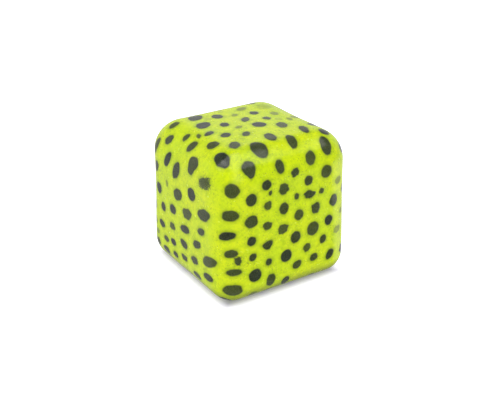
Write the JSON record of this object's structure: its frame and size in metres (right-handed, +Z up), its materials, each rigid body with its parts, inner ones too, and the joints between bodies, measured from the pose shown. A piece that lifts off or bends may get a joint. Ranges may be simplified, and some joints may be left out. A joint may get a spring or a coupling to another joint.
{
  "type": "squeeze cube",
  "caption": "Soft squeezable fidget cube with rounded edges: a printed rubber skin filled with slow-rising dough and closed by a plug in its base.",
  "frame": {"origin": "centre of the flat base, on the surface that the cube stands on", "axes": "+Z up through the cube, -Y out of the face that the main view shows square on, -X out of the other side it shows"},
  "size_m": [0.057, 0.057, 0.057],
  "materials": {
    "printed_skin": "satin yellow-green thermoplastic rubber, printed with dark grey-green spots",
    "plug_rubber": "satin yellow-green thermoplastic rubber, unprinted",
    "clear_glue": "clear, faintly yellow flexible glue",
    "dough": "moist off-white slow-rising dough"
  },
  "bodies": {
    "base": {"skin_lower": "printed_skin", "fill_plug": "plug_rubber", "plug_glue": "clear_glue", "dough_filling": "dough"},
    "top": {"skin_upper": "printed_skin"}
  },
  "joints": [
    {"name": "squeeze", "type": "slide", "parent": "base", "child": "top", "axis": [0, 0, -1], "range_m": [0, 0.018], "stiffness_N_per_m": 1000, "springref_m": -0.002, "deforming": ["skin_lower", "dough_filling", "skin_upper"]}
  ]
}
